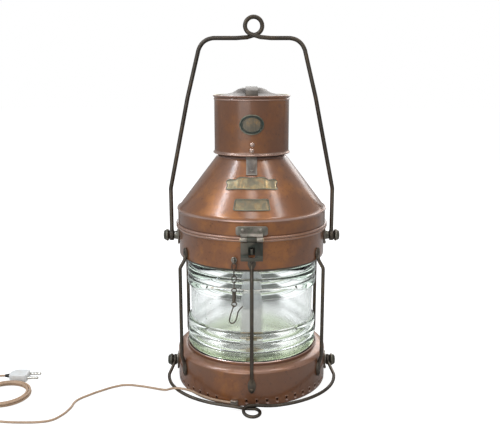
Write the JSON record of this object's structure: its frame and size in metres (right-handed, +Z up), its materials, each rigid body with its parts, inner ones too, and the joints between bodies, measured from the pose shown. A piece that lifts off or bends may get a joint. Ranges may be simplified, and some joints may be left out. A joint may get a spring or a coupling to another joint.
{
  "type": "navigation lantern",
  "caption": "Copper ship's lantern with a ribbed glass, a hinged cone hood and chimney, two swinging bails, a latch and an electric cord.",
  "frame": {"origin": "centre of the base's underside, on the floor", "axes": "+Z up along the lantern's axis, -Y towards the latch at the front, +X to the viewer's right"},
  "size_m": [0.5682, 0.2994, 0.5773],
  "materials": {
    "copper": "old spun copper, brown patina with pink worn edges",
    "tinned_copper": "tinned sheet, bright and slightly dull",
    "rubber": "dark rubber",
    "lens_glass": "clear pressed glass with a faint green tint",
    "bulb_glass": "clear bulb",
    "bronze": "dark grey-brown bronze",
    "verdigris_brass": "dull brass with green verdigris",
    "plate_brass": "worn yellow brass",
    "pewter": "pale grey tarnished sheet",
    "porcelain": "white glazed porcelain",
    "cord_skin": "brown two-core cord sheath",
    "plug_white": "white moulded plastic",
    "pin_metal": "bright plated brass pins"
  },
  "bodies": {
    "lantern": {"base_shell": "copper", "base_plate": "copper", "lamp_floor": "tinned_copper", "gasket_lower": "rubber", "glass_lens": "lens_glass", "gasket_upper": "rubber", "collar": "copper", "guard_rod_1": "bronze", "guard_rod_2": "bronze", "guard_rod_3": "bronze", "guard_rod_4": "bronze", "guard_rod_5": "bronze", "guard_rod_6": "bronze", "upper_stud_right": "verdigris_brass", "upper_knob_right": "verdigris_brass", "upper_stud_left": "verdigris_brass", "upper_knob_left": "verdigris_brass", "lower_stud_right": "verdigris_brass", "lower_knob_right": "verdigris_brass", "lower_stud_left": "verdigris_brass", "lower_knob_left": "verdigris_brass", "lamp_stem": "plate_brass", "lamp_holder": "porcelain", "lamp_bulb": "bulb_glass", "latch_staple": "plate_brass", "hinge_leaf_lower": "verdigris_brass", "hinge_pin": "plate_brass", "chain_eye": "verdigris_brass", "cord_gland": "plate_brass", "lamp_cord": "cord_skin", "cord_coil": "cord_skin", "cord_tail": "cord_skin", "plug_relief": "rubber", "plug_body": "plug_white", "plug_pin_1": "pin_metal", "plug_pin_2": "pin_metal"},
    "hood": {"hood_shell": "copper", "flue": "copper", "chimney": "copper", "chimney_lid": "pewter", "lid_strap": "pewter", "chimney_bracket_1": "verdigris_brass", "chimney_bracket_2": "verdigris_brass", "chimney_bracket_3": "verdigris_brass", "oval_plate": "plate_brass", "scroll_plate": "plate_brass", "label_plate": "plate_brass", "latch_leaf": "verdigris_brass", "latch_pin": "plate_brass", "hinge_leaf_upper": "verdigris_brass"},
    "hasp": {"hasp": "verdigris_brass"},
    "top_bail": {"top_bail": "bronze"},
    "lower_bail": {"lower_bail": "bronze"},
    "chain": {"chain_link_1": "bronze", "chain_link_2": "bronze", "chain_link_3": "bronze", "chain_link_4": "bronze"},
    "hook": {"snap_hook": "bronze"}
  },
  "joints": [
    {"name": "hood_hinge", "type": "hinge", "parent": "lantern", "child": "hood", "pos_m": [0, 0.1241, 0.257], "axis": [-1, 0, 0], "range_deg": [0, 105]},
    {"name": "hasp_hinge", "type": "hinge", "parent": "hood", "child": "hasp", "pos_m": [0, -0.1239, 0.2596], "axis": [-1, 0, 0], "range_deg": [0, 150]},
    {"name": "top_bail_swing", "type": "hinge", "parent": "lantern", "child": "top_bail", "pos_m": [0, 0, 0.2374], "axis": [1, 0, 0], "range_deg": [-135, 135]},
    {"name": "lower_bail_swing", "type": "hinge", "parent": "lantern", "child": "lower_bail", "pos_m": [0, 0, 0.024], "axis": [1, 0, 0], "range_deg": [0, 160]},
    {"name": "chain_swing", "type": "hinge", "parent": "lantern", "child": "chain", "pos_m": [-0.0255, -0.1194, 0.2247], "axis": [-1, 0, 0], "range_deg": [0, 75]},
    {"name": "hook_swing", "type": "hinge", "parent": "chain", "child": "hook", "pos_m": [-0.0255, -0.1194, 0.1868], "axis": [-1, 0, 0], "range_deg": [0, 90]}
  ]
}
